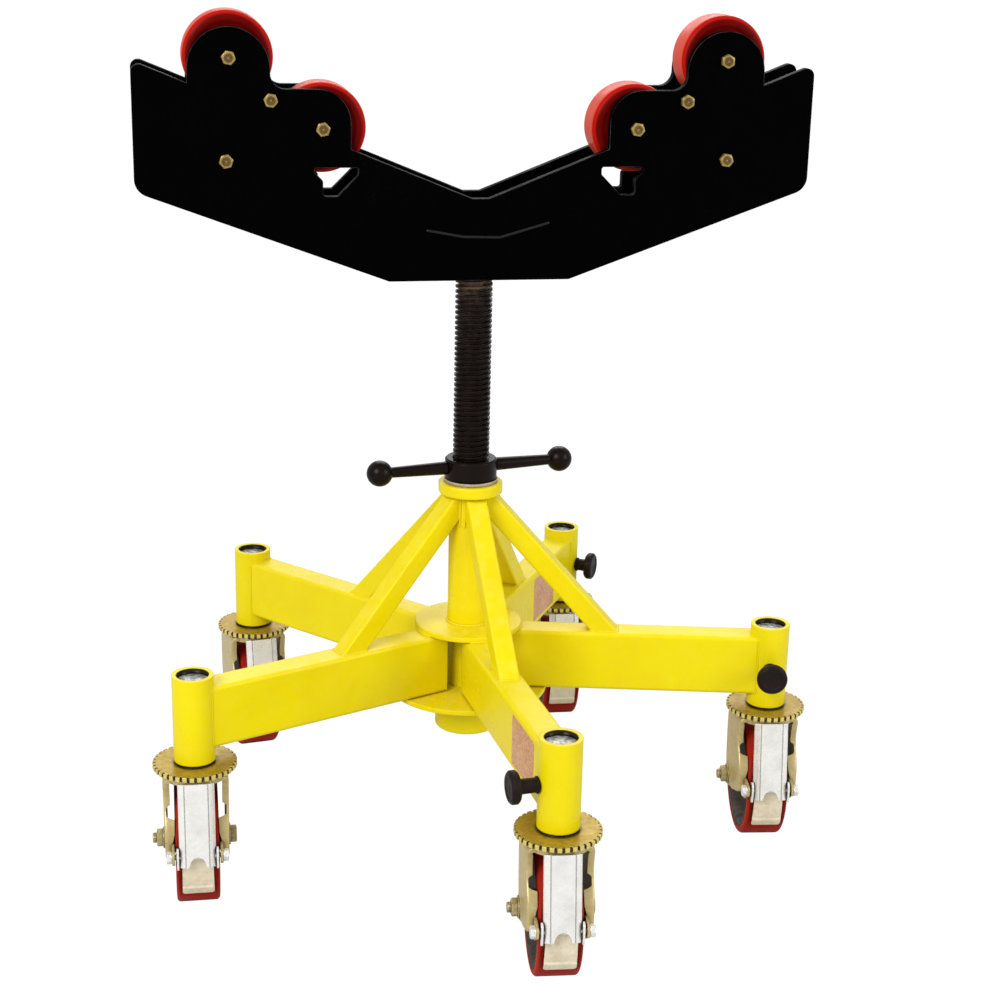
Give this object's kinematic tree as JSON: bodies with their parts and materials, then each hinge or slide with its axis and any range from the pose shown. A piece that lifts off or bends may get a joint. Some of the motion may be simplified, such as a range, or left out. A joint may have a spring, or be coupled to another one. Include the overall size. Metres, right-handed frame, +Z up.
{
  "type": "rolling pipe stand",
  "caption": "Castored pipe stand with braced legs, a screw jack with handled nut and a V head that carries pipe on polyurethane rollers.",
  "frame": {"origin": "on the floor directly under the axis of the column and screw", "axes": "+Z up along the screw; +X along the V head, from its left arm to its right arm; -Y is the front, where the head bolts' heads are"},
  "size_m": [0.8178, 0.8734, 1.0272],
  "materials": {
    "yellow_paint": "glossy yellow enamel on welded steel",
    "black_steel": "black satin paint on steel plate",
    "red_polyurethane": "smooth dark red cast polyurethane",
    "grey_cast_iron": "dark grey painted cast iron",
    "zinc_steel": "yellow zinc plated steel",
    "yellow_zinc_steel": "pale yellow zinc plated pressed steel",
    "bright_zinc_steel": "bright zinc plated pressed steel",
    "black_plastic": "black moulded plastic",
    "bronze_washer": "worn bronze thrust washer"
  },
  "bodies": {
    "base": {"column_tube": "yellow_paint", "top_collar": "yellow_paint", "upper_hub_plate": "yellow_paint", "lower_hub_plate": "yellow_paint", "bottom_boss": "yellow_paint", "leg_tube_1": "yellow_paint", "leg_tube_2": "yellow_paint", "leg_tube_3": "yellow_paint", "leg_tube_4": "yellow_paint", "leg_tube_5": "yellow_paint", "brace_tube_1": "yellow_paint", "brace_tube_2": "yellow_paint", "brace_tube_3": "yellow_paint", "brace_tube_4": "yellow_paint", "brace_tube_5": "yellow_paint", "caster_posts": "yellow_paint", "caster_stems": "zinc_steel", "thrust_washer": "bronze_washer"},
    "caster_1": {"caster_fork_1": "yellow_zinc_steel", "axle_bolt_1": "zinc_steel"},
    "wheel_1": {"wheel_tread_1": "red_polyurethane", "wheel_hub_1": "grey_cast_iron"},
    "pedal_1": {"brake_pedal_1": "bright_zinc_steel"},
    "caster_2": {"caster_fork_2": "yellow_zinc_steel", "axle_bolt_2": "zinc_steel"},
    "wheel_2": {"wheel_tread_2": "red_polyurethane", "wheel_hub_2": "grey_cast_iron"},
    "pedal_2": {"brake_pedal_2": "bright_zinc_steel"},
    "caster_3": {"caster_fork_3": "yellow_zinc_steel", "axle_bolt_3": "zinc_steel"},
    "wheel_3": {"wheel_tread_3": "red_polyurethane", "wheel_hub_3": "grey_cast_iron"},
    "pedal_3": {"brake_pedal_3": "bright_zinc_steel"},
    "caster_4": {"caster_fork_4": "yellow_zinc_steel", "axle_bolt_4": "zinc_steel"},
    "wheel_4": {"wheel_tread_4": "red_polyurethane", "wheel_hub_4": "grey_cast_iron"},
    "pedal_4": {"brake_pedal_4": "bright_zinc_steel"},
    "caster_5": {"caster_fork_5": "yellow_zinc_steel", "axle_bolt_5": "zinc_steel"},
    "wheel_5": {"wheel_tread_5": "red_polyurethane", "wheel_hub_5": "grey_cast_iron"},
    "pedal_5": {"brake_pedal_5": "bright_zinc_steel"},
    "knob_1": {"lock_knob_1": "black_plastic"},
    "knob_2": {"lock_knob_2": "black_plastic"},
    "knob_5": {"lock_knob_5": "black_plastic"},
    "screw": {"jack_screw": "black_steel"},
    "nut": {"jack_nut": "black_steel", "jack_handle": "black_steel"},
    "head": {"head_front_plate": "black_steel", "head_back_plate": "black_steel", "head_socket": "black_steel", "roller_bolts": "zinc_steel", "roller_sleeves": "zinc_steel", "spacer_bolts": "zinc_steel", "spacer_tubes": "black_steel"},
    "roller_high_left": {"head_roller_high_left": "red_polyurethane"},
    "roller_high_right": {"head_roller_high_right": "red_polyurethane"},
    "roller_low_left": {"head_roller_low_left": "red_polyurethane"},
    "roller_low_right": {"head_roller_low_right": "red_polyurethane"}
  },
  "joints": [
    {"name": "caster_swivel_1", "type": "hinge", "parent": "base", "child": "caster_1", "pos_m": [0.37016, -0.08138, 0.17], "axis": [0, 0, 1], "continuous": true},
    {"name": "wheel_spin_1", "type": "hinge", "parent": "caster_1", "child": "wheel_1", "pos_m": [0.37284, -0.05955, 0.0762], "axis": [0.9925, -0.1219, 0], "continuous": true},
    {"name": "brake_pedal_1", "type": "hinge", "parent": "caster_1", "child": "pedal_1", "pos_m": [0.36279, -0.14143, 0.092], "axis": [0.9925, -0.1219, 0], "range_deg": [0, 25]},
    {"name": "caster_swivel_2", "type": "hinge", "parent": "base", "child": "caster_2", "pos_m": [0.19179, 0.32689, 0.17], "axis": [0, 0, 1], "continuous": true},
    {"name": "wheel_spin_2", "type": "hinge", "parent": "caster_2", "child": "wheel_2", "pos_m": [0.19294, 0.34886, 0.0762], "axis": [0.9986, -0.0523, 0], "continuous": true},
    {"name": "brake_pedal_2", "type": "hinge", "parent": "caster_2", "child": "pedal_2", "pos_m": [0.18862, 0.26647, 0.092], "axis": [0.9986, -0.0523, 0], "range_deg": [0, 25]},
    {"name": "caster_swivel_3", "type": "hinge", "parent": "base", "child": "caster_3", "pos_m": [-0.25163, 0.28342, 0.17], "axis": [0, 0, 1], "continuous": true},
    {"name": "wheel_spin_3", "type": "hinge", "parent": "caster_3", "child": "wheel_3", "pos_m": [-0.25507, 0.30514, 0.0762], "axis": [0.9877, 0.1564, 0], "continuous": true},
    {"name": "brake_pedal_3", "type": "hinge", "parent": "caster_3", "child": "pedal_3", "pos_m": [-0.24216, 0.22366, 0.092], "axis": [0.9877, 0.1564, 0], "range_deg": [0, 25]},
    {"name": "caster_swivel_4", "type": "hinge", "parent": "base", "child": "caster_4", "pos_m": [-0.3473, -0.15173, 0.17], "axis": [0, 0, 1], "continuous": true},
    {"name": "wheel_spin_4", "type": "hinge", "parent": "caster_4", "child": "wheel_4", "pos_m": [-0.34692, -0.12974, 0.0762], "axis": [0.9998, -0.0175, 0], "continuous": true},
    {"name": "brake_pedal_4", "type": "hinge", "parent": "caster_4", "child": "pedal_4", "pos_m": [-0.34836, -0.21222, 0.092], "axis": [0.9998, -0.0175, 0], "range_deg": [0, 25]},
    {"name": "caster_swivel_5", "type": "hinge", "parent": "base", "child": "caster_5", "pos_m": [0.03698, -0.37719, 0.17], "axis": [0, 0, 1], "continuous": true},
    {"name": "wheel_spin_5", "type": "hinge", "parent": "caster_5", "child": "wheel_5", "pos_m": [0.0389, -0.35527, 0.0762], "axis": [0.9962, -0.0872, 0], "continuous": true},
    {"name": "brake_pedal_5", "type": "hinge", "parent": "caster_5", "child": "pedal_5", "pos_m": [0.03171, -0.43746, 0.092], "axis": [0.9962, -0.0872, 0], "range_deg": [0, 25]},
    {"name": "lock_knob_1", "type": "hinge", "parent": "base", "child": "knob_1", "pos_m": [0.37016, -0.08138, 0.239], "axis": [-0.2147, -0.9767, 0], "range_deg": [0, 360]},
    {"name": "lock_knob_2", "type": "hinge", "parent": "base", "child": "knob_2", "pos_m": [0.19179, 0.32689, 0.239], "axis": [0.8625, -0.506, 0], "range_deg": [0, 360]},
    {"name": "lock_knob_5", "type": "hinge", "parent": "base", "child": "knob_5", "pos_m": [0.03698, -0.37719, 0.239], "axis": [-0.9952, -0.0976, 0], "range_deg": [0, 360]},
    {"name": "screw_lift", "type": "slide", "parent": "base", "child": "screw", "axis": [0, 0, 1], "range_m": [-0.215, 0.165]},
    {"name": "nut_turn", "type": "hinge", "parent": "base", "child": "nut", "pos_m": [0, 0, 0.485], "axis": [0, 0, 1], "continuous": true},
    {"name": "head_swivel", "type": "hinge", "parent": "screw", "child": "head", "pos_m": [0, 0, 0.76], "axis": [0, 0, 1], "continuous": true},
    {"name": "roller_spin_high_left", "type": "hinge", "parent": "head", "child": "roller_high_left", "pos_m": [-0.2866, 0, 0.9764], "axis": [0, 1, 0], "continuous": true},
    {"name": "roller_spin_high_right", "type": "hinge", "parent": "head", "child": "roller_high_right", "pos_m": [0.2866, 0, 0.9764], "axis": [0, 1, 0], "continuous": true},
    {"name": "roller_spin_low_left", "type": "hinge", "parent": "head", "child": "roller_low_left", "pos_m": [-0.1824, 0, 0.8984], "axis": [0, 1, 0], "continuous": true},
    {"name": "roller_spin_low_right", "type": "hinge", "parent": "head", "child": "roller_low_right", "pos_m": [0.1824, 0, 0.8984], "axis": [0, 1, 0], "continuous": true}
  ],
  "couplings": [
    {"joint": "nut_turn", "follows": "screw_lift", "rad_per_m": -989.48}
  ]
}
